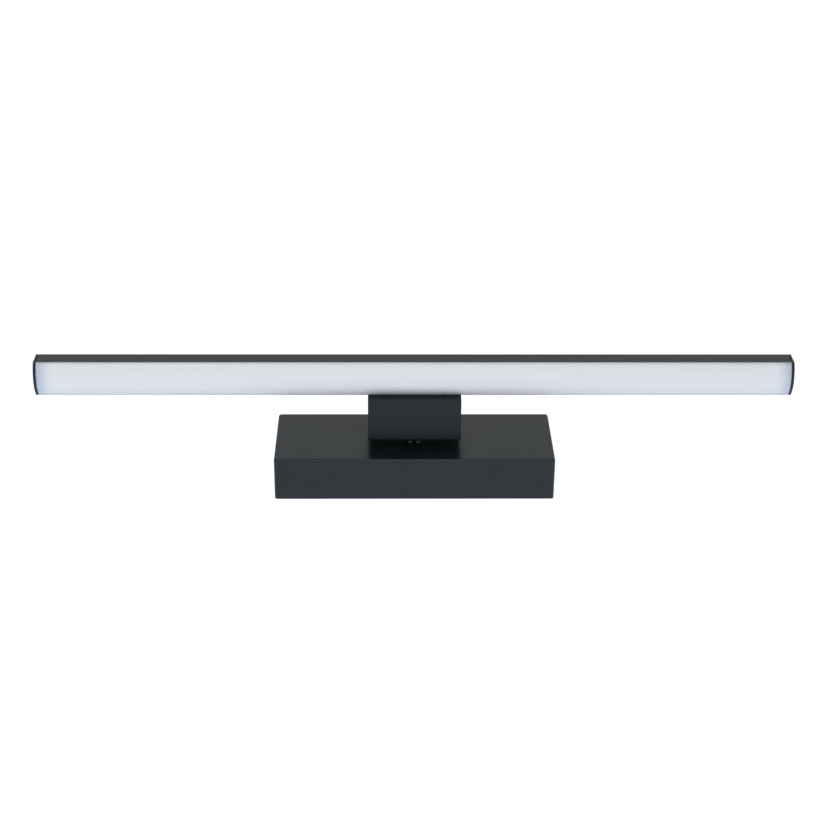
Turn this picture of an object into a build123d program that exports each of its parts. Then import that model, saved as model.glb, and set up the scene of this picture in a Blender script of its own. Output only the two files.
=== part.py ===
from build123d import *

import os

# Picture light, in millimetres: an LED bar on a tilting neck, carried by a flat mounting box.
# +Z points away from the mounting surface, +X runs along the bar and the light leaves towards -Y.
# The origin is the centre of the box's mounting face.

os.makedirs("parts", exist_ok=True)

# ---------------------------------------------------------------- driving dimensions

# Mounting box
box_length = 223.0
box_depth = 80.0
box_height = 35.5
box_wall = 1.5
box_corner_radius = 2.5
box_edge_radius = 1.8

# Neck, whose middle plane and pivot axis stand a little in front of the box's middle
head_y = -3.0
neck_length = 74.0
neck_depth = 33.0
neck_height = 36.0
neck_wall = 2.0
neck_gap = 6.1
neck_corner_radius = 1.5
neck_cap_thickness = 2.0
neck_cap_edge_radius = 0.4
neck_opening_width = 13.0
pivot_above_neck_bottom = 11.0

# Light bar: a D section, its round side to the front
bar_length = 600.0
bar_height = 28.8
bar_depth = 20.1
bar_crown = 5.2
bar_front = -14.7
bar_corner_radius = 0.6
bar_top_wall = 1.6
bar_bottom_wall = 2.0
bar_back_wall = 1.8
end_cap_thickness = 2.0
end_cap_proud = 0.1
end_cap_edge_radius = 0.8
gasket_thickness = 0.5
gasket_inset = 0.3

# Diffuser and its snap fit
diffuser_wall = 1.6
diffuser_gap = 0.1
leg_thickness = 1.2
leg_length = 2.3
groove_depth = 0.5
groove_width = 0.8
bead_height = 0.4

# Hinge hardware
post_width = 8.0
post_depth = 8.0
post_eye = 11.0
post_clearance = 0.3
flange_width = 24.0
flange_depth = 28.0
flange_thickness = 3.5
flange_corner_radius = 2.0
tube_diameter = 6.0
tube_bore = 4.0
tube_half_length = 25.5
running_clearance = 0.04
axial_clearance = 0.05
sleeve_diameter = 9.0
cheek_inner = 16.0
bracket_thickness = 2.0
bracket_depth = 17.0
bush_barrel = 9.0
bush_flange = 12.0
bush_flange_thickness = 1.0
washer_diameter = 12.0
washer_thickness = 1.0
spring_height = 1.0
spring_sheet = 0.6
spring_rim_inset = 0.5
nut_across_flats = 10.0
nut_thickness = 3.2

# Screws: shank and head sizes; shares are of a head's width or height, or of a set screw's length
hole_clearance = 0.05
pan_rounding_share = 0.4
recess_width_share = 0.55
pan_recess_share = 0.5
countersunk_recess_share = 0.6
socket_depth_share = 0.4
post_screw_shank = 2.5
post_screw_head = 4.4
post_screw_head_height = 2.1
post_screw_tip = 1.0
post_screw_x = 3.05
post_screw_y = 7.1
cap_screw_shank = 2.4
cap_screw_head = 4.6
cap_screw_length = 10.0
head_screw_shank = 3.0
head_screw_head = 5.6
head_screw_head_height = 2.2
head_screw_x = 12.0
head_screw_y = -4.4
slide_nut_size = (12.0, 6.4, 3.0)
set_screw_diameter = 4.0
set_screw_length = 7.0

# Mounting plate and wiring
plate_thickness = 1.5
plate_clearance = 0.3
plate_corner_radius = 1.0
plate_screw_diameter = 3.0
plate_screw_head = 5.6
plate_screw_head_height = 2.0
screw_tip_gap = 0.2
ear_height = 14.0
ear_corner_radius = 2.0
ear_half_width = 30.0
ear_gap = 0.2
set_screw_y = 22.0
set_screw_z = 8.0
fixing_hole_x = 90.0
fixing_hole_y = 28.0
fixing_hole_diameter = 4.5
inlet_x = 88.0
inlet_bore = 8.0
inlet_hole = 12.0
inlet_flange = 17.0
grommet_lip = 2.0
grommet_lip_radius = 0.6
earth_place = (50.0, 25.0)
ring_thickness = 0.8
ring_outer = 7.0
ring_barrel = 6.0
barrel_wall = 0.4
lead_diameter = 2.2
led_cable_diameter = 2.4
cable_hole = 3.6
lead_in_block = 2.5
lead_bend_x = 51.0
lead_past_wall = 6.0
lead_bend_radius = 5.0
lead_tight_radius = 2.2
earth_bend_radius = 4.0
earth_straight = 4.0
earth_end_inset = 1.0
cable_loop = 10.0
cable_loop_radius = 6.0
cable_below_flange = 4.1
cable_post_radius = 3.5
cable_tube_radius = 3.0
cable_neck_radius = 4.5
cable_sway_radius = 20.0
cable_connector_radius = 2.6

# LED driver
driver_middle_x = -10.0
driver_length = 92.0
driver_depth = 38.0
driver_height = 20.0
driver_wall = 1.5
driver_flange = 8.0
driver_flange_thickness = 3.0
driver_corner_radius = 2.0
driver_wire_z = 10.5
driver_wire_y = 6.0
lid_lip = 1.2
lid_lip_clearance = 0.1
lid_edge_radius = 0.4
driver_board_margin = 0.5
driver_board_standoff = 2.0
driver_board_thickness = 1.6
standoff_diameter = 4.0
core_size = (20.0, 18.0, 3.0)
winding_size = (16.0, 18.0, 8.5)
transformer_x = -22.0
capacitor_places_x = (2.0, 14.0)
capacitor_radius = 5.0
capacitor_length = 16.0
small_edge_radius = 0.6

# Terminal block
block_x = 65.0
block_size_x = 14.0
block_size_y = 30.0
block_height = 14.0
pole_pitch = 10.0
pole_z = 9.5
pole_hole = 3.4
pole_screw_x = 3.5
pole_screw_head = 3.6
pole_screw_head_height = 1.0
pole_screw_shank = 2.7
pole_screw_length = 2.4
pole_screw_sunk = 1.0
block_notch = (3.0, 1.2)
block_edge_radius = 1.0

# LEDs
board_height = 14.0
board_thickness = 1.6
board_length = 584.0
led_pitch = 10.0
led_count = 58
led_length = 3.5
led_width = 2.8
led_thickness = 0.7
led_cable_x = 31.5
led_cable_y = -4.6
connector_width = 7.0
connector_depth = 3.6
connector_height = 4.0
connector_edge_radius = 0.3
connector_margin = 0.9

# ---------------------------------------------------------------- derived places

neck_bottom = box_height + neck_gap
neck_top = neck_bottom + neck_height
neck_middle = (neck_bottom + neck_top) / 2
neck_shell_half = neck_length / 2 - neck_cap_thickness
pivot_z = neck_bottom + pivot_above_neck_bottom

bar_bottom = neck_top
bar_top = bar_bottom + bar_height
bar_middle = (bar_bottom + bar_top) / 2
bar_back = bar_front + bar_depth
bar_shoulder = bar_front + bar_crown
bar_radius = ((bar_height / 2) ** 2 + bar_crown**2) / (2 * bar_crown)
profile_half = bar_length / 2 - end_cap_thickness - gasket_thickness
bar_inner_top = bar_top - bar_top_wall
bar_inner_bottom = bar_bottom + bar_bottom_wall
bar_inner_back = bar_back - bar_back_wall

port_radius = 2.5
port_inset = 1.9
bar_ports = [
    (bar_inner_back - port_inset, bar_inner_bottom + port_inset),
    (bar_inner_back - port_inset, bar_inner_top - port_inset),
]
neck_port_y = neck_depth / 2 - neck_wall - port_inset
neck_port_z = neck_height / 2 - neck_wall - port_inset
neck_ports = [
    (head_y + side_y * neck_port_y, neck_middle + side_z * neck_port_z)
    for side_y in (-1, 1)
    for side_z in (-1, 1)
]

flange_top = box_height - box_wall
flange_bottom = flange_top - flange_thickness
post_screw_places = [
    (side_x * post_screw_x, head_y + side_y * post_screw_y) for side_x in (-1, 1) for side_y in (-1, 1)
]
board_back = bar_inner_back
board_front = board_back - board_thickness


# ---------------------------------------------------------------- shared shapes


def save(piece, name):
    """Label a finished piece and write its STEP file."""
    piece.part.label = name
    export_step(piece.part, f"parts/{name}.step")


def cross_recess(top, width, depth):
    """Cross-shaped driver recess, to cut down from the given height."""
    with BuildPart() as recess:
        with BuildSketch(Plane.XY.offset(top)):
            Rectangle(width, width / 4)
            Rectangle(width / 4, width)
        extrude(amount=-depth)
    return recess.part


def pan_screw(shank, length, head, head_height):
    """Pan-head screw pointing down, the underside of its head at z = 0."""
    with BuildPart() as screw:
        with BuildSketch():
            Circle(head / 2)
        extrude(amount=head_height)
        fillet(screw.edges().group_by(Axis.Z)[-1], head_height * pan_rounding_share)
        with BuildSketch():
            Circle(shank / 2)
        extrude(amount=-length)
        chamfer(screw.edges().group_by(Axis.Z)[0], shank / 8)
        recess_depth = head_height * pan_recess_share
        add(cross_recess(head_height, head * recess_width_share, recess_depth), mode=Mode.SUBTRACT)
    return screw.part


def countersunk_screw(shank, length, head):
    """Countersunk screw pointing down, the flat top of its head at z = 0."""
    head_height = (head - shank) / 2
    with BuildPart() as screw:
        with BuildSketch(Plane.XZ):
            with BuildLine():
                Polyline(
                    (0, 0),
                    (head / 2, 0),
                    (shank / 2, -head_height),
                    (shank / 2, -length),
                    (0, -length),
                    close=True,
                )
            make_face()
        revolve(axis=Axis.Z)
        chamfer(screw.edges().group_by(Axis.Z)[0], shank / 8)
        recess_depth = head_height * countersunk_recess_share
        add(cross_recess(0, head * recess_width_share, recess_depth), mode=Mode.SUBTRACT)
    return screw.part


def set_screw(diameter, length):
    """Headless screw pointing down from z = 0, with a hexagon socket."""
    with BuildPart() as screw:
        with BuildSketch():
            Circle(diameter / 2)
        extrude(amount=-length)
        chamfer(screw.edges().group_by(Axis.Z)[0], diameter / 8)
        chamfer(screw.edges().group_by(Axis.Z)[-1], diameter / 16)
        with BuildSketch():
            RegularPolygon(diameter / 4, 6)
        extrude(amount=-length * socket_depth_share, mode=Mode.SUBTRACT)
    return screw.part


def ring(outer, inner, start, thickness):
    """Washer or sleeve on the pivot axis, from x = start towards +X."""
    with BuildPart() as washer:
        with BuildSketch(Plane.YZ.offset(start)):
            with Locations((head_y, pivot_z)):
                Circle(outer / 2)
                Circle(inner / 2, mode=Mode.SUBTRACT)
        extrude(amount=thickness)
    return washer.part


def lead(points, radii, diameter):
    """Insulated lead: straight runs joined by tangent arcs."""
    with BuildPart() as tube:
        with BuildLine() as route:
            FilletPolyline(*points, radius=radii)
        with BuildSketch(route.wire() ^ 0):
            Circle(diameter / 2)
        sweep(path=route.wire())
    return tube.part


def neck_outline(plane, inset):
    """Neck section, set in by the given wall."""
    with BuildSketch(plane) as outline:
        with Locations((head_y, neck_middle)):
            RectangleRounded(neck_depth - 2 * inset, neck_height - 2 * inset, neck_corner_radius)
    return outline.sketch


def bar_outline(plane, grow):
    """Bar section: flat top, back and bottom, and a bowed front, grown all round."""
    with BuildSketch(plane) as outline:
        with BuildLine():
            Polyline(
                (bar_shoulder, bar_bottom),
                (bar_back, bar_bottom),
                (bar_back, bar_top),
                (bar_shoulder, bar_top),
            )
            ThreePointArc((bar_shoulder, bar_top), (bar_front, bar_middle), (bar_shoulder, bar_bottom))
        make_face()
        fillet(outline.vertices().group_by(Axis.X)[-1], bar_corner_radius)
        if grow:
            offset(amount=grow, kind=Kind.INTERSECTION)
    return outline.sketch


def end_plate(outline, side, outer, thickness, edge_radius, screw_places):
    """End plate facing +X or -X, with a soft outer edge and countersunk holes."""
    with BuildPart() as plate:
        extrude(outline, amount=side * thickness)
        outer_face = plate.faces().sort_by(Axis.X)[-1 if side > 0 else 0]
        fillet(outer_face.edges(), edge_radius)
        for y, z in screw_places:
            with Locations(Plane(origin=(side * outer, y, z), z_dir=(side, 0, 0))):
                CounterSinkHole(
                    radius=cap_screw_shank / 2 + hole_clearance,
                    counter_sink_radius=cap_screw_head / 2 + hole_clearance,
                    counter_sink_angle=90,
                )
    return plate


def end_screws(outer, screw_places):
    """Countersunk screws, flush with the end plates on both sides."""
    screw = countersunk_screw(cap_screw_shank, cap_screw_length, cap_screw_head)
    with BuildPart() as screws:
        for side in (-1, 1):
            for y, z in screw_places:
                with Locations(Plane(origin=(side * outer, y, z), z_dir=(side, 0, 0))):
                    add(screw)
    return screws


# ---------------------------------------------------------------- mounting box

# Mounting plate: flat sheet with an upturned ear at each end
inner_length = box_length - 2 * box_wall
inner_depth = box_depth - 2 * box_wall
ear_outer = inner_length / 2 - ear_gap
driver_screw_x = (driver_length + driver_flange) / 2
driver_screw_places = [(driver_middle_x + x, 0) for x in (-driver_screw_x, driver_screw_x)]

with BuildPart() as mounting_plate:
    with BuildSketch():
        RectangleRounded(2 * ear_outer, inner_depth - 2 * plate_clearance, plate_corner_radius)
        with GridLocations(2 * fixing_hole_x, 2 * fixing_hole_y, 2, 2):
            Circle(fixing_hole_diameter / 2, mode=Mode.SUBTRACT)
        with Locations((inlet_x, 0)):
            Circle(inlet_hole / 2, mode=Mode.SUBTRACT)
        with Locations(earth_place, *driver_screw_places):
            Circle(plate_screw_diameter / 2 + hole_clearance, mode=Mode.SUBTRACT)
    extrude(amount=plate_thickness)
    for side in (-1, 1):
        with BuildSketch(Plane.YZ.offset(side * ear_outer)):
            with Locations((0, ear_height / 2)):
                Rectangle(2 * ear_half_width, ear_height)
        extrude(amount=-side * plate_thickness)
    ear_edges = mounting_plate.edges().filter_by(Axis.X).filter_by(GeomType.LINE).group_by(Axis.Z)[-1]
    fillet(ear_edges, ear_corner_radius)
    with BuildSketch(Plane.YZ):
        with Locations((-set_screw_y, set_screw_z), (set_screw_y, set_screw_z)):
            Circle(set_screw_diameter / 2 + hole_clearance)
    extrude(amount=box_length / 2, both=True, mode=Mode.SUBTRACT)
save(mounting_plate, "mounting_plate")

# Housing cover: a box open towards the wall, with the post's opening in its top
post_opening = (post_width + 2 * post_clearance, post_depth + 2 * post_clearance)
cover_hole_clearance = 0.15

with BuildPart() as housing_cover:
    with BuildSketch():
        RectangleRounded(box_length, box_depth, box_corner_radius)
    extrude(amount=box_height)
    fillet(housing_cover.faces().sort_by(Axis.Z)[-1].edges(), box_edge_radius)
    with BuildSketch():
        Rectangle(inner_length, inner_depth)
    extrude(amount=box_height - box_wall, mode=Mode.SUBTRACT)
    with BuildSketch(Plane.XY.offset(box_height)):
        with Locations((0, head_y)):
            Rectangle(*post_opening)
        with Locations(*post_screw_places):
            Circle(post_screw_shank / 2 + cover_hole_clearance)
    extrude(amount=-2 * box_wall, mode=Mode.SUBTRACT)
    with BuildSketch(Plane.YZ):
        with Locations((-set_screw_y, set_screw_z), (set_screw_y, set_screw_z)):
            Circle(set_screw_diameter / 2 + cover_hole_clearance)
    extrude(amount=box_length, both=True, mode=Mode.SUBTRACT)
save(housing_cover, "housing_cover")

# Set screws that hold the cover on the plate's ears, flush with the cover's ends
with BuildPart() as cover_screws:
    for side in (-1, 1):
        for y in (-set_screw_y, set_screw_y):
            with Locations(Plane(origin=(side * box_length / 2, y, set_screw_z), z_dir=(side, 0, 0))):
                add(set_screw(set_screw_diameter, set_screw_length))
save(cover_screws, "cover_screws")

# Rubber grommet where the mains cable comes through the plate, level with its back
with BuildPart() as cable_grommet:
    with BuildSketch():
        with Locations((inlet_x, 0)):
            Circle(inlet_hole / 2)
    extrude(amount=plate_thickness + grommet_lip)
    with BuildSketch(Plane.XY.offset(plate_thickness)):
        with Locations((inlet_x, 0)):
            Circle(inlet_flange / 2)
    extrude(amount=grommet_lip)
    fillet(cable_grommet.edges().group_by(Axis.Z)[-1], grommet_lip_radius)
    with BuildSketch():
        with Locations((inlet_x, 0)):
            Circle(inlet_bore / 2)
    extrude(amount=plate_thickness + grommet_lip, mode=Mode.SUBTRACT)
save(cable_grommet, "cable_grommet")

# ---------------------------------------------------------------- LED driver

driver_bottom = plate_thickness
driver_top = driver_bottom + driver_height
driver_input_end = driver_middle_x + driver_length / 2
driver_output_end = driver_middle_x - driver_length / 2
driver_inner = (driver_length - 2 * driver_wall, driver_depth - 2 * driver_wall)
driver_holes_input = [(-driver_wire_y, driver_wire_z), (driver_wire_y, driver_wire_z)]

with BuildPart() as driver_case:
    with BuildSketch(Plane.XY.offset(driver_bottom)):
        with Locations((driver_middle_x, 0)):
            RectangleRounded(driver_length, driver_depth, driver_corner_radius)
    extrude(amount=driver_height - driver_wall)
    with BuildSketch(Plane.XY.offset(driver_bottom)):
        with Locations((driver_middle_x, 0)):
            RectangleRounded(driver_length + 2 * driver_flange, driver_depth / 2, driver_corner_radius)
    extrude(amount=driver_flange_thickness)
    with BuildSketch(Plane.XY.offset(driver_bottom + driver_wall)):
        with Locations((driver_middle_x, 0)):
            Rectangle(*driver_inner)
    extrude(amount=driver_height, mode=Mode.SUBTRACT)
    with BuildSketch(Plane.XY.offset(driver_bottom)):
        with Locations(*driver_screw_places):
            Circle(plate_screw_diameter / 2 + hole_clearance)
    extrude(amount=driver_flange_thickness, mode=Mode.SUBTRACT)
    with BuildSketch(Plane.YZ.offset(driver_input_end)):
        with Locations(*driver_holes_input):
            Circle(lead_diameter / 2 + cover_hole_clearance)
    extrude(amount=-driver_wall, mode=Mode.SUBTRACT)
    with BuildSketch(Plane.YZ.offset(driver_output_end)):
        with Locations((head_y, driver_wire_z)):
            Circle(led_cable_diameter / 2 + cover_hole_clearance)
    extrude(amount=driver_wall, mode=Mode.SUBTRACT)
save(driver_case, "driver_case")

with BuildPart() as driver_lid:
    with BuildSketch(Plane.XY.offset(driver_top - driver_wall)):
        with Locations((driver_middle_x, 0)):
            RectangleRounded(driver_length, driver_depth, driver_corner_radius)
    extrude(amount=driver_wall)
    fillet(driver_lid.edges().group_by(Axis.Z)[-1], lid_edge_radius)
    with BuildSketch(Plane.XY.offset(driver_top - driver_wall)):
        with Locations((driver_middle_x, 0)):
            Rectangle(driver_inner[0] - 2 * lid_lip_clearance, driver_inner[1] - 2 * lid_lip_clearance)
            Rectangle(driver_inner[0] - 2 * lid_lip, driver_inner[1] - 2 * lid_lip, mode=Mode.SUBTRACT)
    extrude(amount=-lid_lip)
save(driver_lid, "driver_lid")

driver_board_bottom = driver_bottom + driver_wall + driver_board_standoff
driver_board_top = driver_board_bottom + driver_board_thickness

with BuildPart() as driver_board:
    with BuildSketch(Plane.XY.offset(driver_board_bottom)):
        with Locations((driver_middle_x, 0)):
            Rectangle(*[size - 2 * driver_board_margin for size in driver_inner])
    extrude(amount=driver_board_thickness)
    with BuildSketch(Plane.XY.offset(driver_bottom + driver_wall)):
        with Locations((driver_middle_x, 0)):
            with GridLocations(*[size - 2 * standoff_diameter for size in driver_inner], 2, 2):
                Circle(standoff_diameter / 2)
    extrude(amount=driver_board_standoff)
save(driver_board, "driver_board")

with BuildPart() as driver_transformer:
    with BuildSketch(Plane.XY.offset(driver_board_top)):
        with Locations((transformer_x, 0)):
            Rectangle(*core_size[:2])
    extrude(amount=core_size[2])
    with BuildSketch(Plane.XY.offset(driver_board_top + core_size[2])):
        with Locations((transformer_x, 0)):
            Rectangle(*winding_size[:2])
    extrude(amount=winding_size[2])
    fillet(driver_transformer.edges().group_by(Axis.Z)[-1], small_edge_radius)
save(driver_transformer, "driver_transformer")

with BuildPart() as driver_capacitors:
    with BuildSketch(Plane.XZ.offset(-capacitor_length / 2)):
        with Locations(*[(x, driver_board_top + capacitor_radius) for x in capacitor_places_x]):
            Circle(capacitor_radius)
    extrude(amount=capacitor_length)
    fillet(driver_capacitors.edges().filter_by(GeomType.CIRCLE), small_edge_radius)
save(driver_capacitors, "driver_capacitors")

with BuildPart() as driver_screws:
    with Locations(*[(x, y, driver_bottom + driver_flange_thickness) for x, y in driver_screw_places]):
        add(
            pan_screw(
                plate_screw_diameter,
                driver_flange_thickness + plate_thickness - screw_tip_gap,
                plate_screw_head,
                plate_screw_head_height,
            )
        )
save(driver_screws, "driver_screws")

# ---------------------------------------------------------------- terminal block and leads

poles_y = [-pole_pitch, 0, pole_pitch]
block_top = plate_thickness + block_height
pole_screw_places = [(block_x + x, y) for x in (-pole_screw_x, pole_screw_x) for y in poles_y]

with BuildPart() as terminal_block:
    with BuildSketch(Plane.XY.offset(plate_thickness)):
        with Locations((block_x, 0)):
            Rectangle(block_size_x, block_size_y)
            with GridLocations(block_size_x, pole_pitch, 2, 2):
                Rectangle(*block_notch, mode=Mode.SUBTRACT)
    extrude(amount=block_height)
    fillet(terminal_block.faces().sort_by(Axis.Z)[-1].edges().filter_by(Axis.Y), block_edge_radius)
    with BuildSketch(Plane.YZ.offset(block_x)):
        with Locations(*[(y, pole_z) for y in poles_y]):
            Circle(pole_hole / 2)
    extrude(amount=block_size_x, both=True, mode=Mode.SUBTRACT)
    with BuildSketch(Plane.XY.offset(block_top)):
        with Locations(*pole_screw_places):
            Circle(pole_screw_head / 2 + hole_clearance)
    extrude(amount=pole_z - block_top, mode=Mode.SUBTRACT)
save(terminal_block, "terminal_block")

with BuildPart() as terminal_screws:
    with Locations(*[(x, y, block_top - pole_screw_sunk) for x, y in pole_screw_places]):
        add(pan_screw(pole_screw_shank, pole_screw_length, pole_screw_head, pole_screw_head_height))
save(terminal_screws, "terminal_screws")

# Leads start just inside the block's holes; live and neutral end on the driver's board
lead_start = block_x - block_size_x / 2 + lead_in_block
lead_near_driver = driver_input_end + lead_past_wall
lead_board_x = driver_input_end - lead_past_wall


def supply_lead(side):
    """Lead from an outer pole through the driver's end wall down to its board."""
    y_pole = side * pole_pitch
    y_wire = side * driver_wire_y
    return lead(
        [
            (lead_start, y_pole, pole_z),
            (lead_bend_x, y_pole, pole_z),
            (lead_near_driver, y_wire, driver_wire_z),
            (lead_board_x, y_wire, driver_wire_z),
            (lead_board_x, y_wire, driver_board_top),
        ],
        [lead_bend_radius, lead_bend_radius, lead_tight_radius],
        lead_diameter,
    )


with BuildPart() as live_lead:
    add(supply_lead(-1))
save(live_lead, "live_lead")

with BuildPart() as neutral_lead:
    add(supply_lead(1))
save(neutral_lead, "neutral_lead")

# Earth lead: from the middle pole down to a ring terminal on the plate
earth_z = plate_thickness + ring_thickness + lead_diameter / 2 + hole_clearance
barrel_start = earth_place[1] - ring_outer / 2 - ring_barrel

with BuildPart() as earth_lead:
    add(
        lead(
            [
                (lead_start, 0, pole_z),
                (earth_place[0], 0, pole_z),
                (earth_place[0], barrel_start - earth_straight, earth_z),
                (earth_place[0], barrel_start + ring_barrel - earth_end_inset, earth_z),
            ],
            [earth_bend_radius, lead_bend_radius],
            lead_diameter,
        )
    )
save(earth_lead, "earth_lead")

with BuildPart() as earth_ring_terminal:
    with BuildSketch(Plane.XY.offset(plate_thickness)):
        with Locations(earth_place):
            Circle(ring_outer / 2)
        with Locations((earth_place[0], earth_place[1] - ring_outer / 2)):
            Rectangle(lead_diameter, ring_outer / 2)
        with Locations(earth_place):
            Circle(plate_screw_diameter / 2 + hole_clearance, mode=Mode.SUBTRACT)
    extrude(amount=ring_thickness)
    with BuildSketch(Plane.XZ.offset(-barrel_start)):
        with Locations((earth_place[0], earth_z)):
            Circle(lead_diameter / 2 + hole_clearance + barrel_wall)
            Circle(lead_diameter / 2 + hole_clearance, mode=Mode.SUBTRACT)
    extrude(amount=-ring_barrel)
save(earth_ring_terminal, "earth_ring_terminal")

with BuildPart() as earth_screw:
    with Locations((*earth_place, plate_thickness + ring_thickness)):
        add(
            pan_screw(
                plate_screw_diameter,
                ring_thickness + plate_thickness - screw_tip_gap,
                plate_screw_head,
                plate_screw_head_height,
            )
        )
save(earth_screw, "earth_screw")

# LED cable, fixed part: from the driver's board round its end, up through the post, into the pivot tube
cable_board_x = driver_output_end + lead_past_wall
cable_loop_x = driver_output_end - cable_loop
cable_over_driver_z = flange_bottom - cable_below_flange
cable_joint_gap = 0.3

with BuildPart() as led_cable_lower:
    add(
        lead(
            [
                (cable_board_x, head_y, driver_board_top),
                (cable_board_x, head_y, driver_wire_z),
                (cable_loop_x, head_y, driver_wire_z),
                (cable_loop_x, head_y, cable_over_driver_z),
                (0, head_y, cable_over_driver_z),
                (0, head_y, pivot_z),
                (tube_half_length, head_y, pivot_z),
            ],
            [
                lead_tight_radius,
                cable_loop_radius,
                cable_loop_radius,
                cable_post_radius,
                cable_tube_radius,
            ],
            led_cable_diameter,
        )
    )
save(led_cable_lower, "led_cable_lower")

# ---------------------------------------------------------------- tilting joint, fixed side

# Pivot post: flange under the cover's top, column through it, round eye on the pivot axis
with BuildPart() as pivot_post:
    with BuildSketch(Plane.XY.offset(flange_bottom)):
        with Locations((0, head_y)):
            RectangleRounded(flange_width, flange_depth, flange_corner_radius)
    extrude(amount=flange_thickness)
    with BuildSketch(Plane.YZ):
        with Locations((head_y, (flange_top + pivot_z) / 2)):
            Rectangle(post_depth, pivot_z - flange_top)
        with Locations((head_y, pivot_z)):
            Circle(post_eye / 2)
    extrude(amount=post_width / 2, both=True)
    with BuildSketch(Plane.YZ):
        with Locations((head_y, pivot_z)):
            Circle(tube_diameter / 2 + hole_clearance)
    extrude(amount=post_width, both=True, mode=Mode.SUBTRACT)
    with BuildSketch(Plane.XY.offset(flange_bottom)):
        with Locations((0, head_y)):
            Circle(cable_hole / 2)
        with Locations(*post_screw_places):
            Circle(post_screw_shank / 2 + hole_clearance)
    extrude(amount=pivot_z - flange_bottom, mode=Mode.SUBTRACT)
save(pivot_post, "pivot_post")

with BuildPart() as post_screws:
    with Locations(*[(x, y, box_height) for x, y in post_screw_places]):
        add(
            pan_screw(
                post_screw_shank,
                box_wall + flange_thickness + post_screw_tip,
                post_screw_head,
                post_screw_head_height,
            )
        )
save(post_screws, "post_screws")

# Hollow pivot tube, with a hole for the cable where it crosses the post
with BuildPart() as pivot_tube:
    add(ring(tube_diameter, tube_bore, -tube_half_length, 2 * tube_half_length))
    with BuildSketch(Plane.XY.offset(pivot_z)):
        with Locations((0, head_y)):
            Circle(cable_hole / 2)
    extrude(amount=-tube_diameter, mode=Mode.SUBTRACT)
save(pivot_tube, "pivot_tube")

# On each half of the tube, from the post outwards: sleeve, bracket cheek, washer, disc spring, nut
sleeve_start = post_width / 2
sleeve_length = cheek_inner - axial_clearance - sleeve_start
cheek_outer = cheek_inner + bracket_thickness
washer_start = cheek_outer + bush_flange_thickness + axial_clearance
spring_start = washer_start + washer_thickness
nut_start = spring_start + spring_height
tube_hole = tube_diameter + 2 * hole_clearance


def both_sides(shape):
    """Put a shape made on the +X half of the tube on both halves."""
    with BuildPart() as pair:
        add(shape)
        mirror(about=Plane.YZ)
    return pair


spacer_sleeves = both_sides(ring(sleeve_diameter, tube_hole, sleeve_start, sleeve_length))
save(spacer_sleeves, "spacer_sleeves")

friction_washers = both_sides(ring(washer_diameter, tube_hole, washer_start, washer_thickness))
save(friction_washers, "friction_washers")

# Disc spring: a shallow cone of sheet, its rim on the washer and its crown on the nut
spring_inner = tube_hole / 2
spring_outer = washer_diameter / 2 - spring_rim_inset

with BuildPart() as disc_spring:
    with BuildSketch(Plane(origin=(0, head_y, pivot_z), x_dir=(1, 0, 0), z_dir=(0, -1, 0))):
        with BuildLine():
            Polyline(
                (spring_start, spring_outer),
                (spring_start + spring_sheet, spring_outer),
                (spring_start + spring_height, spring_inner),
                (spring_start + spring_height - spring_sheet, spring_inner),
                close=True,
            )
        make_face()
    revolve(axis=Axis((0, head_y, pivot_z), (1, 0, 0)))
disc_springs = both_sides(disc_spring.part)
save(disc_springs, "disc_springs")

with BuildPart() as axle_nut:
    with BuildSketch(Plane.YZ.offset(nut_start)):
        with Locations((head_y, pivot_z)):
            RegularPolygon(nut_across_flats / 2, 6, major_radius=False)
            Circle(tube_hole / 2, mode=Mode.SUBTRACT)
    extrude(amount=nut_thickness)
axle_nuts = both_sides(axle_nut.part)
save(axle_nuts, "axle_nuts")

# ---------------------------------------------------------------- neck

bar_screw_places = [(-head_screw_x, head_screw_y), (head_screw_x, head_screw_y)]
bar_screw_clearance = 0.15
neck_cable_hole = 4.0

# Neck: a nearly square tube, its floor open round the post and the post's screws
with BuildPart() as neck_shell:
    with BuildSketch(Plane.YZ):
        add(neck_outline(Plane.XY, 0))
        add(neck_outline(Plane.XY, neck_wall), mode=Mode.SUBTRACT)
        with Locations(*neck_ports):
            Circle(port_radius)
        with Locations(*neck_ports):
            Circle(cap_screw_shank / 2 + hole_clearance, mode=Mode.SUBTRACT)
    extrude(amount=neck_shell_half, both=True)
    with BuildSketch(Plane.XY.offset(neck_bottom)):
        with Locations((0, head_y)):
            Rectangle(neck_opening_width, neck_depth - 2 * neck_wall)
    extrude(amount=neck_wall, mode=Mode.SUBTRACT)
    with BuildSketch(Plane.XY.offset(neck_top)):
        with Locations(*bar_screw_places):
            Circle(head_screw_shank / 2 + bar_screw_clearance)
        with Locations((led_cable_x, led_cable_y)):
            Circle(neck_cable_hole / 2)
    extrude(amount=-neck_wall, mode=Mode.SUBTRACT)
save(neck_shell, "neck_shell")

for cap_name, cap_side in (("neck_cap_left", -1), ("neck_cap_right", 1)):
    cap_plane = Plane.YZ.offset(cap_side * neck_shell_half)
    neck_cap = end_plate(
        neck_outline(cap_plane, 0),
        cap_side,
        neck_length / 2,
        neck_cap_thickness,
        neck_cap_edge_radius,
        neck_ports,
    )
    save(neck_cap, cap_name)

neck_cap_screws = end_screws(neck_length / 2, neck_ports)
save(neck_cap_screws, "neck_cap_screws")

# Bracket inside the neck: a web under the neck's top and two cheeks that hold the bushes
web_top = neck_top - neck_wall

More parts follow.
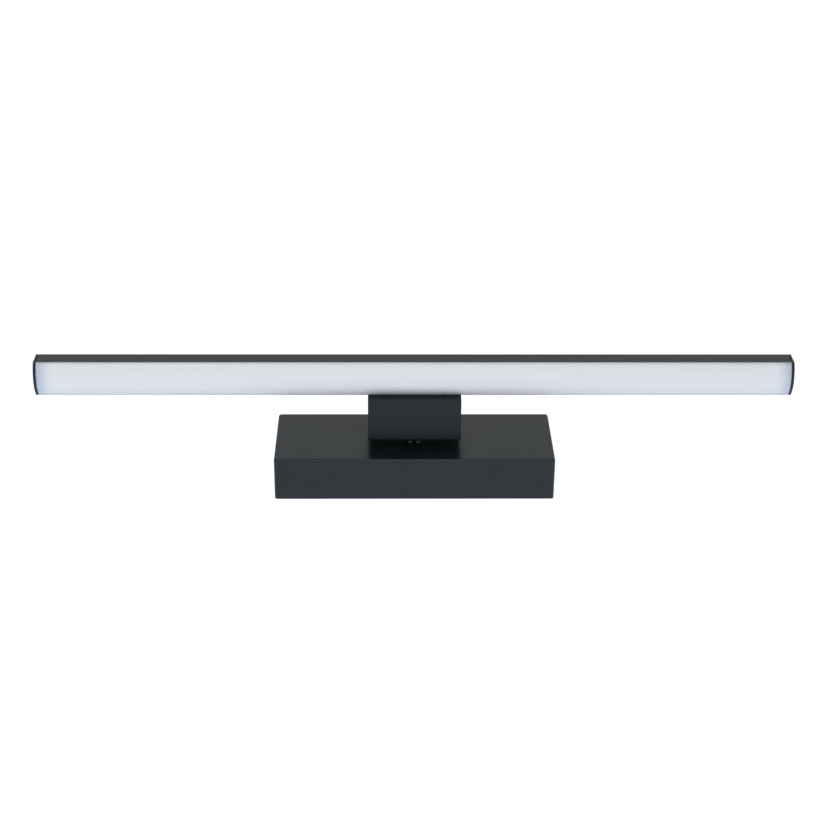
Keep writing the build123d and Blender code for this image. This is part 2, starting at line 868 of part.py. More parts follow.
with BuildPart() as neck_bracket:
    with BuildSketch(Plane.YZ):
        with Locations((head_y, (web_top + pivot_z) / 2)):
            Rectangle(bracket_depth, web_top - pivot_z)
        with Locations((head_y, pivot_z)):
            Circle(bracket_depth / 2)
    extrude(amount=cheek_outer, both=True)
    with BuildSketch(Plane.YZ):
        with Locations((head_y, web_top - bracket_thickness - neck_height / 2)):
            Rectangle(2 * bracket_depth, neck_height)
    extrude(amount=cheek_inner, both=True, mode=Mode.SUBTRACT)
    with BuildSketch(Plane.YZ):
        with Locations((head_y, pivot_z)):
            Circle(bush_barrel / 2 + hole_clearance)
    extrude(amount=neck_length, both=True, mode=Mode.SUBTRACT)
    with BuildSketch(Plane.XY.offset(web_top)):
        with Locations(*bar_screw_places):
            Circle(head_screw_shank / 2 + bar_screw_clearance)
    extrude(amount=-bracket_thickness, mode=Mode.SUBTRACT)
save(neck_bracket, "neck_bracket")

# Flanged nylon bushes: the barrel sits in the cheek, the flange on its outer side
bush_bore = tube_diameter + 2 * running_clearance

with BuildPart() as pivot_bush:
    add(ring(bush_barrel, bush_bore, cheek_inner, bracket_thickness))
    add(ring(bush_flange, bush_bore, cheek_outer, bush_flange_thickness))
pivot_bushes = both_sides(pivot_bush.part)
save(pivot_bushes, "pivot_bushes")

# Screws from the bracket's web up into slide nuts in the bar
head_screw_length = bracket_thickness + neck_wall + bar_bottom_wall + slide_nut_size[2]

with BuildPart() as head_screws:
    for x, y in bar_screw_places:
        with Locations(Plane(origin=(x, y, web_top - bracket_thickness), z_dir=(0, 0, -1))):
            add(pan_screw(head_screw_shank, head_screw_length, head_screw_head, head_screw_head_height))
save(head_screws, "head_screws")

with BuildPart() as slide_nuts:
    with BuildSketch(Plane.XY.offset(bar_inner_bottom)):
        with Locations(*bar_screw_places):
            Rectangle(*slide_nut_size[:2])
        with Locations(*bar_screw_places):
            Circle(head_screw_shank / 2 + hole_clearance, mode=Mode.SUBTRACT)
    extrude(amount=slide_nut_size[2])
save(slide_nuts, "slide_nuts")

# ---------------------------------------------------------------- light bar

# Profile: open to the front, with rails for the LED board and ports for the end screws
wall_front = bar_shoulder + diffuser_gap
rail_thickness = 1.1
rail_depth = 2.6
rail_lip = 0.8
board_slack = 0.1
leg_start = bar_shoulder - diffuser_wall / 3
leg_end = leg_start + leg_length
bar_grommet_hole = 4.6
bar_grommet_flange = 6.0
bar_grommet_lip = 1.0

with BuildPart() as bar_body:
    with BuildSketch(Plane.YZ):
        add(bar_outline(Plane.XY, 0))
        with Locations((bar_front, bar_middle)):
            Rectangle(2 * (wall_front - bar_front), 2 * bar_height, mode=Mode.SUBTRACT)
        with Locations(((bar_front + bar_inner_back) / 2, (bar_inner_bottom + bar_inner_top) / 2)):
            Rectangle(bar_inner_back - bar_front, bar_inner_top - bar_inner_bottom, mode=Mode.SUBTRACT)
        for side in (-1, 1):
            rail_z = bar_middle + side * (board_height / 2 + board_slack + rail_thickness / 2)
            with Locations((bar_inner_back - rail_depth / 2, rail_z)):
                Rectangle(rail_depth, rail_thickness)
            lip_z = bar_middle + side * (board_height / 2 + board_slack - rail_lip / 2)
            lip_depth = rail_depth - board_thickness - board_slack
            with Locations((bar_inner_back - rail_depth + lip_depth / 2, lip_z)):
                Rectangle(lip_depth, rail_lip)
        with Locations(*bar_ports):
            Circle(port_radius)
        with Locations(*bar_ports):
            Circle(cap_screw_shank / 2 + hole_clearance, mode=Mode.SUBTRACT)
        with Locations(
            (leg_end - groove_width / 2, bar_inner_top + groove_depth / 2),
            (leg_end - groove_width / 2, bar_inner_bottom - groove_depth / 2),
        ):
            Rectangle(groove_width, groove_depth, mode=Mode.SUBTRACT)
    extrude(amount=profile_half, both=True)
    with BuildSketch(Plane.XY.offset(bar_bottom)):
        with Locations(*bar_screw_places):
            Circle(head_screw_shank / 2 + bar_screw_clearance)
        with Locations((led_cable_x, led_cable_y)):
            Circle(bar_grommet_hole / 2)
    extrude(amount=bar_bottom_wall, mode=Mode.SUBTRACT)
save(bar_body, "bar_body")

# Diffuser: bowed opal front with a snap leg along its top and bottom
bead_width = groove_width - 2 * diffuser_gap

with BuildPart() as diffuser:
    with BuildSketch(Plane.YZ):
        with BuildLine():
            ThreePointArc((bar_shoulder, bar_top), (bar_front, bar_middle), (bar_shoulder, bar_bottom))
            Line((bar_shoulder, bar_bottom), (bar_shoulder, bar_top))
        make_face()
        with Locations((bar_front + bar_radius, bar_middle)):
            Circle(bar_radius - diffuser_wall, mode=Mode.SUBTRACT)
        for side, inner_face in ((-1, bar_inner_bottom), (1, bar_inner_top)):
            leg_face = inner_face - side * diffuser_gap
            with Locations(((leg_start + leg_end) / 2, leg_face - side * leg_thickness / 2)):
                Rectangle(leg_end - leg_start, leg_thickness)
            with Locations((leg_end - diffuser_gap - bead_width / 2, leg_face)):
                Rectangle(bead_width, 2 * bead_height)
    extrude(amount=profile_half, both=True)
save(diffuser, "diffuser")

with BuildPart() as led_board:
    with BuildSketch(Plane.XZ.offset(-board_back)):
        with Locations((0, bar_middle)):
            Rectangle(board_length, board_height)
    extrude(amount=board_thickness)
save(led_board, "led_board")

with BuildPart() as leds:
    with BuildSketch(Plane.XZ.offset(-board_front)):
        with Locations((0, bar_middle)):
            with GridLocations(led_pitch, led_pitch, led_count, 1):
                Rectangle(led_length, led_width)
    extrude(amount=led_thickness)
save(leds, "leds")

connector_z = bar_middle - board_height / 2 + connector_margin + connector_height / 2
connector_front = board_front - connector_depth

with BuildPart() as led_connector:
    with BuildSketch(Plane.XZ.offset(-board_front)):
        with Locations((led_cable_x, connector_z)):
            Rectangle(connector_width, connector_height)
    extrude(amount=connector_depth)
    fillet(led_connector.faces().sort_by(Axis.Y)[0].edges(), connector_edge_radius)
    with BuildSketch(Plane.XZ.offset(-connector_front)):
        with Locations((led_cable_x, connector_z)):
            Circle(led_cable_diameter / 2 + hole_clearance)
    extrude(amount=-connector_depth / 2, mode=Mode.SUBTRACT)
save(led_connector, "led_connector")

# Grommet in the bar's floor, where the LED cable comes up from the neck
with BuildPart() as bar_grommet:
    with BuildSketch(Plane.XY.offset(bar_bottom)):
        with Locations((led_cable_x, led_cable_y)):
            Circle(bar_grommet_hole / 2)
    extrude(amount=bar_bottom_wall)
    with BuildSketch(Plane.XY.offset(bar_inner_bottom)):
        with Locations((led_cable_x, led_cable_y)):
            Circle(bar_grommet_flange / 2)
    extrude(amount=bar_grommet_lip)
    with BuildSketch(Plane.XY.offset(bar_bottom)):
        with Locations((led_cable_x, led_cable_y)):
            Circle(led_cable_diameter / 2 + hole_clearance)
    extrude(amount=bar_bottom_wall + bar_grommet_lip, mode=Mode.SUBTRACT)
save(bar_grommet, "bar_grommet")

# LED cable, moving part: it starts on the pivot axis, so the tilt only twists it
cable_rise = 8.0

with BuildPart() as led_cable_upper:
    add(
        lead(
            [
                (tube_half_length + cable_joint_gap, head_y, pivot_z),
                (led_cable_x, head_y, pivot_z),
                (led_cable_x, head_y, pivot_z + cable_rise),
                (led_cable_x, led_cable_y, neck_top - cable_rise),
                (led_cable_x, led_cable_y, connector_z),
                (led_cable_x, connector_front + connector_depth / 2, connector_z),
            ],
            [cable_neck_radius, cable_sway_radius, cable_sway_radius, cable_connector_radius],
            led_cable_diameter,
        )
    )
save(led_cable_upper, "led_cable_upper")

# End caps with their gaskets and screws
with BuildPart() as end_gaskets:
    for side in (-1, 1):
        extrude(
            bar_outline(Plane.YZ.offset(side * profile_half), -gasket_inset),
            amount=side * gasket_thickness,
        )
    with BuildSketch(Plane.YZ):
        with Locations(*bar_ports):
            Circle(cap_screw_shank / 2 + hole_clearance)
    extrude(amount=bar_length, both=True, mode=Mode.SUBTRACT)
save(end_gaskets, "end_gaskets")

for cap_name, cap_side in (("end_cap_left", -1), ("end_cap_right", 1)):
    cap_plane = Plane.YZ.offset(cap_side * (bar_length / 2 - end_cap_thickness))
    end_cap = end_plate(
        bar_outline(cap_plane, end_cap_proud),
        cap_side,
        bar_length / 2,
        end_cap_thickness,
        end_cap_edge_radius,
        bar_ports,
    )
    save(end_cap, cap_name)

end_cap_screws = end_screws(bar_length / 2, bar_ports)
save(end_cap_screws, "end_cap_screws")
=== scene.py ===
import math

import bmesh
import bpy
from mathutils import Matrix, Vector


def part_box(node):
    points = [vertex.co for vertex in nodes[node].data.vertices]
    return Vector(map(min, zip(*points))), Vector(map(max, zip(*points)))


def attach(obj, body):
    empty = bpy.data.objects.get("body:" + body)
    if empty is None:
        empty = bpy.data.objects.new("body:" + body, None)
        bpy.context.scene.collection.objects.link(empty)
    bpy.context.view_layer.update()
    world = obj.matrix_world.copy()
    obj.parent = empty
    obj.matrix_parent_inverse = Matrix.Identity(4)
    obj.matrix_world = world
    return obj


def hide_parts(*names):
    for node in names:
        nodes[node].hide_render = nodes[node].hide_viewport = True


# Picture light: a bowed LED bar on a tilting neck over a flat mounting box.
# Metres, in the CAD model's frame: +Z up from the mounting face, +X along the bar, light towards -Y.

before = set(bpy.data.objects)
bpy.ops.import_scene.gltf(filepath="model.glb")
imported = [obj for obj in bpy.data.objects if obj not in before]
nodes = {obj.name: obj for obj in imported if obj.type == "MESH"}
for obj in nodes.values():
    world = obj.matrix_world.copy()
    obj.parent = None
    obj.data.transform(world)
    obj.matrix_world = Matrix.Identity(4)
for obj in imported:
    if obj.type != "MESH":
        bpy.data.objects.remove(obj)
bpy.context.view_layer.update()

# ---------------------------------------------------------------- camera

CAMERA_PLACE = (-0.0217, -1.2836, 0.7181)
CAMERA_TURN_DEG = (62.735, -0.364, -0.737)
SENSOR = 36.0
LENS = 78.25

camera_data = bpy.data.cameras.new("camera")
camera_data.sensor_width = SENSOR
camera_data.lens = LENS
camera = bpy.data.objects.new("camera", camera_data)
camera.location = CAMERA_PLACE
camera.rotation_euler = [math.radians(angle) for angle in CAMERA_TURN_DEG]
bpy.context.scene.collection.objects.link(camera)
bpy.context.scene.camera = camera
bpy.context.scene.view_settings.view_transform = "Standard"

# ---------------------------------------------------------------- shader nodes

MIX_SHARE, MIX_FIRST, MIX_SECOND, MIX_RESULT = 0, 6, 7, 2
EDGE_SAMPLES = 4
FLAT_DOT, SHARP_DOT = 0.995, 0.8


def finish(name, colour, roughness, metallic=0.0, ior=1.5):
    """New material whose uniform values are set on its Principled shader."""
    material = bpy.data.materials.new(name)
    material.use_nodes = True
    shader_input(material, "Base Color").default_value = (*colour, 1.0)
    shader_input(material, "Roughness").default_value = roughness
    shader_input(material, "Metallic").default_value = metallic
    shader_input(material, "IOR").default_value = ior
    return material


def scattering(material, weight, radius):
    """Let light into the surface, over the given distances for red, green and blue."""
    shader_input(material, "Subsurface Weight").default_value = weight
    shader_input(material, "Subsurface Radius").default_value = radius
    shader_input(material, "Subsurface Scale").default_value = 1.0


def put(owner, kind, **settings):
    """New node in a material's or the world's tree, with its properties set."""
    node = owner.node_tree.nodes.new(kind)
    for key, value in settings.items():
        setattr(node, key, value)
    return node


def feed(owner, target, value):
    """Link an output to an input, or set the input to a plain value."""
    if isinstance(value, bpy.types.NodeSocket):
        owner.node_tree.links.new(value, target)
    else:
        target.default_value = value


def shader_input(material, name):
    return material.node_tree.nodes["Principled BSDF"].inputs[name]


def place(material, stretch=(1.0, 1.0, 1.0)):
    """Position on the piece in metres, scaled along each axis."""
    coordinates = put(material, "ShaderNodeTexCoord")
    scaled = put(material, "ShaderNodeVectorMath", operation="MULTIPLY")
    feed(material, scaled.inputs[0], coordinates.outputs["Object"])
    feed(material, scaled.inputs[1], stretch)
    return scaled.outputs[0]


def noise(material, grain, detail=2.0, stretch=(1.0, 1.0, 1.0)):
    """Even noise from 0 to 1 whose features are about the given size in metres."""
    texture = put(material, "ShaderNodeTexNoise")
    feed(material, texture.inputs["Vector"], place(material, stretch))
    feed(material, texture.inputs["Scale"], 1.0 / grain)
    feed(material, texture.inputs["Detail"], detail)
    return texture.outputs["Fac"]


def cells(material, per_metre, randomness=1.0, **settings):
    """Distance from the middle of the nearest cell, in cell widths."""
    texture = put(material, "ShaderNodeTexVoronoi", **settings)
    feed(material, texture.inputs["Vector"], place(material))
    feed(material, texture.inputs["Scale"], per_metre)
    feed(material, texture.inputs["Randomness"], randomness)
    return texture.outputs["Distance"]


def calc(owner, operation, *values):
    """Math node's output."""
    maths = put(owner, "ShaderNodeMath", operation=operation)
    for socket, value in zip(maths.inputs, values):
        feed(owner, socket, value)
    return maths.outputs[0]


def spread(material, value, low, high, to_low=0.0, to_high=1.0):
    """A value between low and high carried over to another range, with soft ends."""
    mapped = put(material, "ShaderNodeMapRange", interpolation_type="SMOOTHSTEP")
    feed(material, mapped.inputs["Value"], value)
    feed(material, mapped.inputs["From Min"], low)
    feed(material, mapped.inputs["From Max"], high)
    feed(material, mapped.inputs["To Min"], to_low)
    feed(material, mapped.inputs["To Max"], to_high)
    return mapped.outputs["Result"]


def fading(material, distance, width):
    """1 where the distance is zero and 0 a width away."""
    return spread(material, distance, low=0.0, high=width, to_low=1.0, to_high=0.0)


def blend_colours(material, share, first, second):
    """Mix of two colours, each a triple or an output."""
    mix = put(material, "ShaderNodeMix", data_type="RGBA")
    feed(material, mix.inputs[MIX_SHARE], share)
    for index, colour in ((MIX_FIRST, first), (MIX_SECOND, second)):
        plain = not isinstance(colour, bpy.types.NodeSocket)
        feed(material, mix.inputs[index], (*colour, 1.0) if plain else colour)
    return mix.outputs[MIX_RESULT]


def tinted(colour, share):
    """A colour made lighter or darker."""
    return tuple(min(1.0, channel * share) for channel in colour)


def between_tints(material, share, colour, at_low, at_high):
    """A colour that wanders between two tints of itself as the share goes from 0 to 1."""
    return blend_colours(material, share, tinted(colour, at_low), tinted(colour, at_high))


def raised(material, height, depth):
    """Put a bump of the given depth in metres on the material's normal."""
    bump = put(material, "ShaderNodeBump")
    normal = shader_input(material, "Normal")
    if normal.is_linked:
        feed(material, bump.inputs["Normal"], normal.links[0].from_socket)
    feed(material, bump.inputs["Height"], height)
    feed(material, bump.inputs["Distance"], depth)
    feed(material, normal, bump.outputs["Normal"])


def edges(material, radius):
    """1 on sharp edges and 0 a radius away from them."""
    bevel = put(material, "ShaderNodeBevel", samples=EDGE_SAMPLES)
    feed(material, bevel.inputs["Radius"], radius)
    geometry = put(material, "ShaderNodeNewGeometry")
    across = put(material, "ShaderNodeVectorMath", operation="DOT_PRODUCT")
    feed(material, across.inputs[0], bevel.outputs["Normal"])
    feed(material, across.inputs[1], geometry.outputs["Normal"])
    return spread(material, across.outputs["Value"], FLAT_DOT, SHARP_DOT)


def colour_and_sheen(material, colour, sheen):
    """Feed the two main inputs of the material's shader."""
    feed(material, shader_input(material, "Base Color"), colour)
    feed(material, shader_input(material, "Roughness"), sheen)


# ---------------------------------------------------------------- materials

# Most of a noise texture's values lie between these two
NOISE_LOW, NOISE_HIGH = 0.3, 0.7
ACRYLIC_IOR = 1.49
PVC_IOR = 1.53
RESIN_IOR = 1.55
FINE_EDGE = 0.0003


def coated(name, colour, roughness, ior, lines=None):
    """Satin black coat: faint clouding, orange peel, fine grain and slightly rubbed edges."""
    cloud_size, grain_size, patch_size, handled_size, peel_size = 0.03, 0.0003, 0.006, 0.02, 0.0012
    peel_depth, grain_depth = 6e-6, 8e-6
    fleck_share, fleck_tint = 0.35, 2.0
    rubbed_edge, rubbed_share, rubbed_tint, rubbed_dulling = 0.0006, 0.5, 3.0, 0.08
    handling = 0.012
    line_stretch, line_width_to_depth = (0.02, 1.0, 1.0), 14
    material = finish(name, colour, roughness, ior=ior)
    grain = noise(material, grain_size, detail=1.0)
    patchy = spread(material, noise(material, patch_size), low=0.35, high=0.7)
    worn = calc(material, "MULTIPLY", edges(material, rubbed_edge), patchy)
    cloud = noise(material, cloud_size, detail=3.0)
    body = between_tints(material, cloud, colour, at_low=0.8, at_high=1.2)
    flecks = spread(material, grain, low=0.62, high=0.8, to_high=fleck_share)
    speckled = blend_colours(material, flecks, body, tinted(colour, fleck_tint))
    rubbed = calc(material, "MULTIPLY", worn, rubbed_share)
    handled = noise(material, handled_size, detail=4.0)
    sheen = spread(material, handled, NOISE_LOW, NOISE_HIGH, roughness - handling, roughness + handling)
    duller = calc(material, "MULTIPLY", worn, rubbed_dulling)
    colour_and_sheen(
        material,
        blend_colours(material, rubbed, speckled, tinted(colour, rubbed_tint)),
        calc(material, "ADD", sheen, duller),
    )
    raised(material, noise(material, peel_size, detail=1.0), peel_depth)
    raised(material, grain, grain_depth)
    if lines:
        raised(material, noise(material, lines, stretch=line_stretch), lines / line_width_to_depth)
    return material


def plated(name, colour, roughness, lustre=1.0, spangle=0.0025):
    """Plated or bare metal: soft spangle, fine turning marks, dull patches and polished edges."""
    mark_size, mark_depth, mark_stretch = 0.0002, 3e-6, (0.1, 1.0, 1.0)
    spangle_depth = 2e-6
    polish, polish_tint = 0.6, 1.5
    shiniest, dullest = roughness - 0.06, roughness + 0.08
    material = finish(name, colour, roughness, metallic=lustre)
    patches = noise(material, spangle, detail=3.0)
    spangled = spread(material, patches, NOISE_LOW, NOISE_HIGH)
    grey = between_tints(material, spangled, colour, at_low=0.82, at_high=1.1)
    bright = calc(material, "MULTIPLY", edges(material, FINE_EDGE), polish)
    colour_and_sheen(
        material,
        blend_colours(material, bright, grey, tinted(colour, polish_tint)),
        spread(material, patches, low=0.35, high=0.65, to_low=shiniest, to_high=dullest),
    )
    raised(material, noise(material, mark_size, stretch=mark_stretch), mark_depth)
    raised(material, noise(material, spangle / 4), spangle_depth)
    return material


def moulded(name, colour, roughness, grain=0.0004, grain_depth=5e-6, glow=0.0):
    """Moulded plastic or rubber: spark-eroded grain, faint flow clouding and lighter edges."""
    flow_size, flow_stretch = 0.009, (0.5, 1.0, 1.0)
    shine_size, shine_swing = 0.003, 0.05
    scuffing, scuff_tint = 0.25, 1.6
    scatter_radius = (0.0012, 0.0011, 0.0009)
    material = finish(name, colour, roughness, ior=ACRYLIC_IOR)
    scattering(material, glow, scatter_radius)
    flow = noise(material, flow_size, detail=3.0, stretch=flow_stretch)
    body = between_tints(material, flow, colour, at_low=0.93, at_high=1.05)
    lighter = calc(material, "MULTIPLY", edges(material, FINE_EDGE), scuffing)
    shiniest, dullest = roughness - shine_swing, roughness + shine_swing
    colour_and_sheen(
        material,
        blend_colours(material, lighter, body, tinted(colour, scuff_tint)),
        spread(material, noise(material, shine_size), NOISE_LOW, NOISE_HIGH, shiniest, dullest),
    )
    raised(material, noise(material, grain), grain_depth)
    return material


def foam(name, colour):
    """Closed-cell foam: open cells on the cut edge, with painted shade in their hollows and lighter
    rims, and a matt body.
    """
    cell_size, cell_depth = 0.0005, 6e-5
    material = finish(name, colour, roughness=0.9)
    hollow = spread(material, cells(material, 1 / cell_size), low=0.1, high=0.6)
    # Painted shade: the cells' hollows are darker and their rims lighter; the bump below is the real
    # relief
    colour_and_sheen(
        material,
        between_tints(material, hollow, colour, at_low=0.5, at_high=1.3),
        spread(material, hollow, low=0.0, high=1.0, to_low=0.95, to_high=0.82),
    )
    raised(material, hollow, cell_depth)
    return material


def striped(name, first, second, width):
    """Two-colour lead: stripes along the wire, with the faint ripple of drawn PVC."""
    cloud_size, cloud_tint = 0.004, 0.8
    ripple_size, ripple_depth = 0.0006, 4e-6
    soft_edge = 0.1
    material = finish(name, first, roughness=0.34, ior=PVC_IOR)
    axes = put(material, "ShaderNodeSeparateXYZ")
    feed(material, axes.inputs[0], place(material))
    across = calc(material, "ADD", axes.outputs["X"], axes.outputs["Y"])
    along = calc(material, "ADD", across, axes.outputs["Z"])
    wave = calc(material, "SINE", calc(material, "MULTIPLY", along, math.pi / width))
    tone = blend_colours(material, spread(material, wave, -soft_edge, soft_edge), first, second)
    cloud = noise(material, cloud_size)
    colour_and_sheen(
        material,
        blend_colours(material, cloud, tone, tinted(second, cloud_tint)),
        spread(material, cloud, NOISE_LOW, NOISE_HIGH, to_low=0.3, to_high=0.4),
    )
    raised(material, noise(material, ripple_size), ripple_depth)
    return material


def printed(name, mask, track, pitch):
    """Circuit board: raised tracks and round pads under the solder mask."""
    cloud_size, cloud_share, cloud_tint = 0.01, 0.2, 0.9
    pads_per_track, pad_share = 0.5, 0.8
    track_depth, weave_size, weave_depth = 2e-5, 0.0005, 3e-6
    material = finish(name, mask, roughness=0.4, ior=RESIN_IOR)
    squares = cells(material, 1.0 / pitch, randomness=0.55, distance="CHEBYCHEV")
    islands = spread(material, squares, low=0.34, high=0.38)
    rounds = cells(material, pads_per_track / pitch, randomness=0.3)
    dots = spread(material, rounds, low=0.16, high=0.14)
    board = between_tints(material, islands, mask, at_low=1.15, at_high=0.8)
    copper = blend_colours(material, calc(material, "MULTIPLY", dots, pad_share), board, track)
    cloud = noise(material, cloud_size, detail=3.0)
    clouding = calc(material, "MULTIPLY", cloud, cloud_share)
    colour_and_sheen(
        material,
        blend_colours(material, clouding, copper, tinted(mask, cloud_tint)),
        spread(material, cloud, NOISE_LOW, NOISE_HIGH, to_low=0.34, to_high=0.46),
    )
    raised(material, islands, -track_depth)
    raised(material, dots, track_depth)
    raised(material, noise(material, weave_size), weave_depth)
    return material


def opal(name, colour, painted_end_shade, painted_bottom_shade, painted_top_shade):
    """Milky acrylic with painted shade: its colour is darker near the bar's ends, bottom rail and top
    rail.
    """
    # Widths and strengths of the painted shade at the ends, the bottom rail and the top rail
    end_width, end_curve = 0.016, 1.8
    bottom_width, bottom_share = 0.010, 0.52
    top_width, top_share = 0.005, 0.25
    milkiness, scatter_radius = 0.75, (0.005, 0.005, 0.005)
    cloud_size, haze_size = 0.05, 0.004
    drawn_size, drawn_stretch, drawn_depth = 0.0008, (0.15, 1.0, 1.0), 2e-6
    material = finish(name, colour, roughness=0.4, ior=ACRYLIC_IOR)
    scattering(material, milkiness, scatter_radius)
    low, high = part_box("diffuser")
    axes = put(material, "ShaderNodeSeparateXYZ")
    feed(material, axes.inputs[0], place(material))
    from_end = calc(material, "SUBTRACT", high.x, calc(material, "ABSOLUTE", axes.outputs["X"]))
    above_bottom = calc(material, "SUBTRACT", axes.outputs["Z"], low.z)
    below_top = calc(material, "SUBTRACT", high.z, axes.outputs["Z"])
    painted_bottom_share = calc(material, "MULTIPLY", fading(material, above_bottom, bottom_width), bottom_share)
    painted_top_share = calc(material, "MULTIPLY", fading(material, below_top, top_width), top_share)
    painted_end_share = calc(material, "POWER", fading(material, from_end, end_width), end_curve)
    tone = between_tints(material, noise(material, cloud_size), colour, at_low=0.985, at_high=1.015)
    # Painted shade: the colour darkens towards the bottom rail, the top rail and the ends
    tone = blend_colours(material, painted_bottom_share, tone, painted_bottom_shade)
    tone = blend_colours(material, painted_top_share, tone, painted_top_shade)
    tone = blend_colours(material, painted_end_share, tone, painted_end_shade)
    haze = noise(material, haze_size, detail=3.0)
    sheen = spread(material, haze, NOISE_LOW, NOISE_HIGH, to_low=0.36, to_high=0.44)
    colour_and_sheen(material, tone, sheen)
    raised(material, noise(material, drawn_size, stretch=drawn_stretch), drawn_depth)
    return material


BLACK = (0.0031, 0.0060, 0.0074)
ANODISED = (0.006, 0.0065, 0.0062)
CAP_BLACK = (0.004, 0.0045, 0.005)
# Diffuser colour, and the colours of its painted shade at the ends, bottom rail (warmer) and top rail
# (bluer)
OPAL = {
    "colour": (0.80, 0.82, 0.815),
    "painted_end_shade": (0.48, 0.55, 0.64),
    "painted_bottom_shade": (0.60, 0.59, 0.54),
    "painted_top_shade": (0.56, 0.68, 0.82),
}
looks = {
    "box_coating": coated("satin_box_coat", BLACK, roughness=0.3, ior=1.42),
    "neck_coating": coated("satin_neck_coat", BLACK, roughness=0.44, ior=1.385, lines=0.0003),
    "bar_anodised": coated("black_anodised", ANODISED, roughness=0.38, ior=1.53, lines=0.00025),
    "end_cap_finish": coated("end_cap_coat", CAP_BLACK, roughness=0.42, ior=1.45),
    "post_finish": coated("post_coat", BLACK, roughness=0.4, ior=1.45),
    "opal_diffuser": opal("opal_acrylic", **OPAL),
    "black_steel": plated(
        "black_oxide_steel", (0.13, 0.13, 0.135), roughness=0.36, lustre=0.85, spangle=0.0008
    ),
    "zinc_steel": plated("zinc_plate", (0.60, 0.61, 0.63), roughness=0.3),
    "spring_steel": plated("hardened_steel", (0.34, 0.34, 0.35), roughness=0.38, spangle=0.0015),
    "brass_parts": plated("drawn_brass", (0.76, 0.58, 0.29), roughness=0.27, spangle=0.0015),
    "black_rubber": moulded("matt_rubber", (0.014, 0.014, 0.014), roughness=0.66, grain_depth=1.2e-5),
    "white_plastic": moulded("white_polyamide", (0.74, 0.74, 0.71), roughness=0.46, glow=0.15),
    "dark_plastic": moulded("dark_sleeve", (0.02, 0.021, 0.024), roughness=0.42),
    "circuit_board": printed("green_board", (0.02, 0.12, 0.045), (0.62, 0.6, 0.55), pitch=0.0035),
    "board_white": printed("white_led_board", (0.78, 0.79, 0.77), (0.70, 0.62, 0.42), pitch=0.005),
    "led_emitter": moulded(
        "phosphor", (0.88, 0.64, 0.16), roughness=0.3, grain=0.00008, grain_depth=3e-6, glow=0.3
    ),
    "gasket_foam": foam("gasket_cells", (0.03, 0.03, 0.03)),
    "live_insulation": moulded("brown_pvc", (0.12, 0.04, 0.016), roughness=0.32),
    "neutral_insulation": moulded("blue_pvc", (0.02, 0.09, 0.36), roughness=0.32),
    "earth_insulation": striped("green_yellow_pvc", (0.05, 0.28, 0.06), (0.72, 0.6, 0.05), width=0.0022),
    "cable_sheath": moulded("silicone_sheath", (0.68, 0.68, 0.65), roughness=0.5, glow=0.2),
}
for piece in nodes.values():
    for slot in piece.material_slots:
        slot.material = looks[slot.material.name]

# ---------------------------------------------------------------- LED packages

LED_COUNT = 58
LED_PITCH = 0.01
LED_CORNER_CUT = 0.0002
RIM_BEVEL = 0.0001
RIM_WIDTH = 0.00025
CUP_INSET = 0.00055
CUP_DEPTH = 0.00025
DOME_SHARE = 0.6
led_low, led_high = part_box("leds")
led_front = led_low.y
led_back = led_high.y
led_half_width = (led_high.x - led_low.x - (LED_COUNT - 1) * LED_PITCH) / 2
led_half_height = (led_high.z - led_low.z) / 2
led_middle_z = (led_low.z + led_high.z) / 2


def ring_of(mesh, inset, x, y):
    """Eight vertices of the package's outline with cut corners, set in by the inset."""
    half_width = led_half_width - inset
    half_height = led_half_height - inset
    outline = []
    for side, end in ((1, 1), (-1, 1), (-1, -1), (1, -1)):
        beside = (side * half_width, end * (half_height - LED_CORNER_CUT))
        above = (side * (half_width - LED_CORNER_CUT), end * half_height)
        outline += [beside, above] if side * end > 0 else [above, beside]
    return [mesh.verts.new((x + dx, y, led_middle_z + dz)) for dx, dz in outline]


def join_rings(mesh, first, second):
    """Band of faces between two rings of vertices."""
    for i, corner in enumerate(first):
        j = (i + 1) % len(first)
        mesh.faces.new((corner, first[j], second[j], second[i]))


def led_packages():
    """Row of LED packages: a white frame with a sloping reflector round a slightly domed phosphor."""
    sections = (
        (0.0, led_back),
        (0.0, led_front + RIM_BEVEL),
        (RIM_BEVEL, led_front),
        (RIM_WIDTH, led_front),
        (CUP_INSET, led_front + CUP_DEPTH),
    )
    mesh = bmesh.new()
    for number in range(LED_COUNT):
        x = (number - (LED_COUNT - 1) / 2) * LED_PITCH
        rings = [ring_of(mesh, inset, x, y) for inset, y in sections]
        for outer, inner in zip(rings, rings[1:]):
            join_rings(mesh, outer, inner)
        mesh.faces.new(rings[0])
        middle = mesh.verts.new((x, led_front + CUP_DEPTH * DOME_SHARE, led_middle_z))
        fill = rings[-1]
        for i, corner in enumerate(fill):
            mesh.faces.new((corner, fill[(i + 1) % len(fill)], middle)).material_index = 1
    bmesh.ops.recalc_face_normals(mesh, faces=mesh.faces)
    data = bpy.data.meshes.new("led_packages")
    mesh.to_mesh(data)
    mesh.free()
    frame_look = moulded(
        "led_frame", (0.86, 0.86, 0.83), roughness=0.4, grain=0.0001, grain_depth=2e-6, glow=0.1
    )
    data.materials.append(frame_look)
    data.materials.append(looks["led_emitter"])
    piece = bpy.data.objects.new("led_packages", data)
    bpy.context.scene.collection.objects.link(piece)
    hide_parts("leds")
    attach(piece, "head")


led_packages()

# ---------------------------------------------------------------- stage and light

FLOOR_RADIUS = 40.0
FLOOR_SEGMENTS = 128
FLOOR_COLOUR = (0.05, 0.05, 0.05)
FLOOR_GLOW = (1.0, 1.06, 1.20)

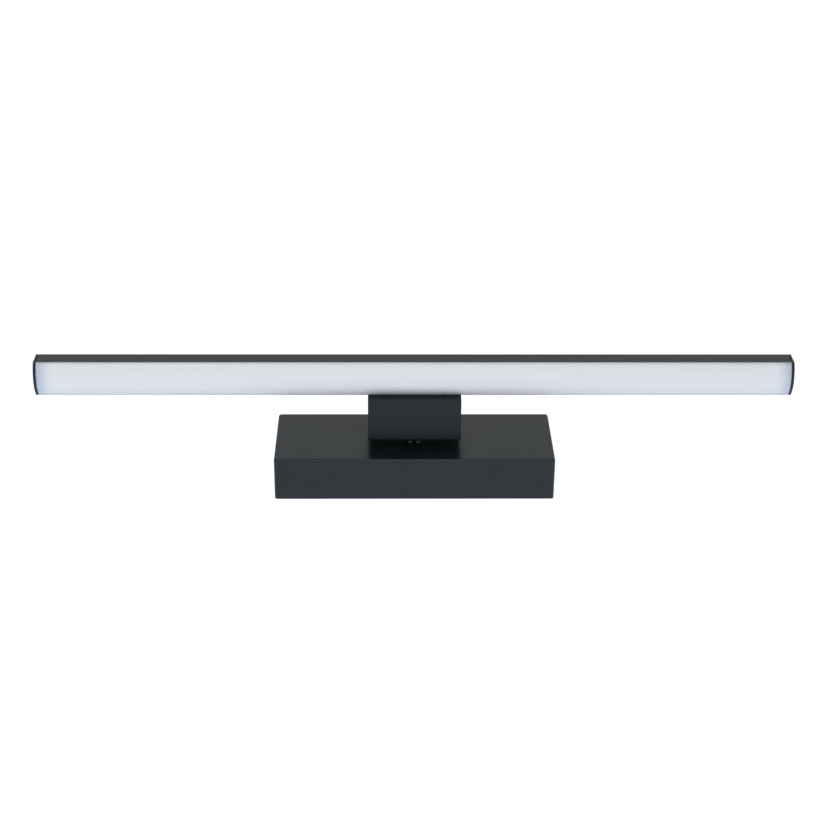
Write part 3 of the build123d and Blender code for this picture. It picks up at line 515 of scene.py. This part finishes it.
# Studio walls and ceiling as an arc over the light: share of the half circle from the front floor
# line over the ceiling to the back floor line, and the colour there
ARC = (
    (0.0, (0.74, 0.76, 0.78)),
    (0.22, (0.72, 0.74, 0.76)),
    (0.42, (0.55, 0.56, 0.57)),
    (0.56, (0.34, 0.35, 0.36)),
    (0.72, (0.38, 0.40, 0.41)),
    (0.79, (0.755, 0.785, 0.78)),
    (0.88, (0.755, 0.785, 0.78)),
    (0.93, (0.22, 0.22, 0.22)),
    (1.0, (0.10, 0.10, 0.10)),
)
BACKDROP = (1.0, 1.0, 1.0)


def floor():
    """Large pale disc that the light stands on, evenly bright like a light table."""
    mesh = bpy.data.meshes.new("floor")
    disc = bmesh.new()
    bmesh.ops.create_circle(disc, cap_ends=True, radius=FLOOR_RADIUS, segments=FLOOR_SEGMENTS)
    disc.to_mesh(mesh)
    disc.free()
    piece = bpy.data.objects.new("floor", mesh)
    bpy.context.scene.collection.objects.link(piece)
    material = finish("floor_paper", FLOOR_COLOUR, roughness=0.9)
    shader_input(material, "Specular IOR Level").default_value = 0.0
    shader_input(material, "Emission Color").default_value = (*FLOOR_GLOW, 1.0)
    shader_input(material, "Emission Strength").default_value = 1.0
    piece.data.materials.append(material)


def surroundings():
    """Studio walls: dim above, brighter in front and behind, dark at the back floor line.

    They only light the piece. The camera sees a plain white backdrop where it looks past the floor.
    """
    world = bpy.data.worlds.new("studio")
    world.use_nodes = True
    bpy.context.scene.world = world
    ramp = put(world, "ShaderNodeValToRGB")
    stops = ramp.color_ramp.elements
    while len(stops) < len(ARC):
        stops.new(1.0)
    for stop, (position, colour) in zip(stops, ARC):
        stop.position = position
        stop.color = (*colour, 1.0)
    axes = put(world, "ShaderNodeSeparateXYZ")
    feed(world, axes.inputs[0], put(world, "ShaderNodeTexCoord").outputs["Generated"])
    forward = calc(world, "MULTIPLY", axes.outputs["Y"], -1.0)
    angle = calc(world, "ARCTAN2", axes.outputs["Z"], forward)
    feed(world, ramp.inputs[0], calc(world, "MULTIPLY", angle, 1 / math.pi))
    straight = put(world, "ShaderNodeLightPath").outputs["Is Camera Ray"]
    seen = blend_colours(world, straight, ramp.outputs[0], BACKDROP)
    feed(world, world.node_tree.nodes["Background"].inputs["Color"], seen)


def softbox(name, place_at, aim, size, power, colour):
    """Rectangular soft light that faces the aim point."""
    data = bpy.data.lights.new(name, "AREA")
    data.shape = "RECTANGLE"
    data.size, data.size_y = size
    data.energy = power
    data.color = colour
    lamp = bpy.data.objects.new(name, data)
    lamp.location = place_at
    lamp.rotation_euler = (Vector(aim) - Vector(place_at)).to_track_quat("-Z", "Y").to_euler()
    bpy.context.scene.collection.objects.link(lamp)


floor()
surroundings()
softbox(
    "key",
    place_at=(-0.3, -0.8, 1.6),
    aim=(0, 0, 0),
    size=(1.6, 1.0),
    power=11.0,
    colour=(0.96, 0.98, 1.0),
)
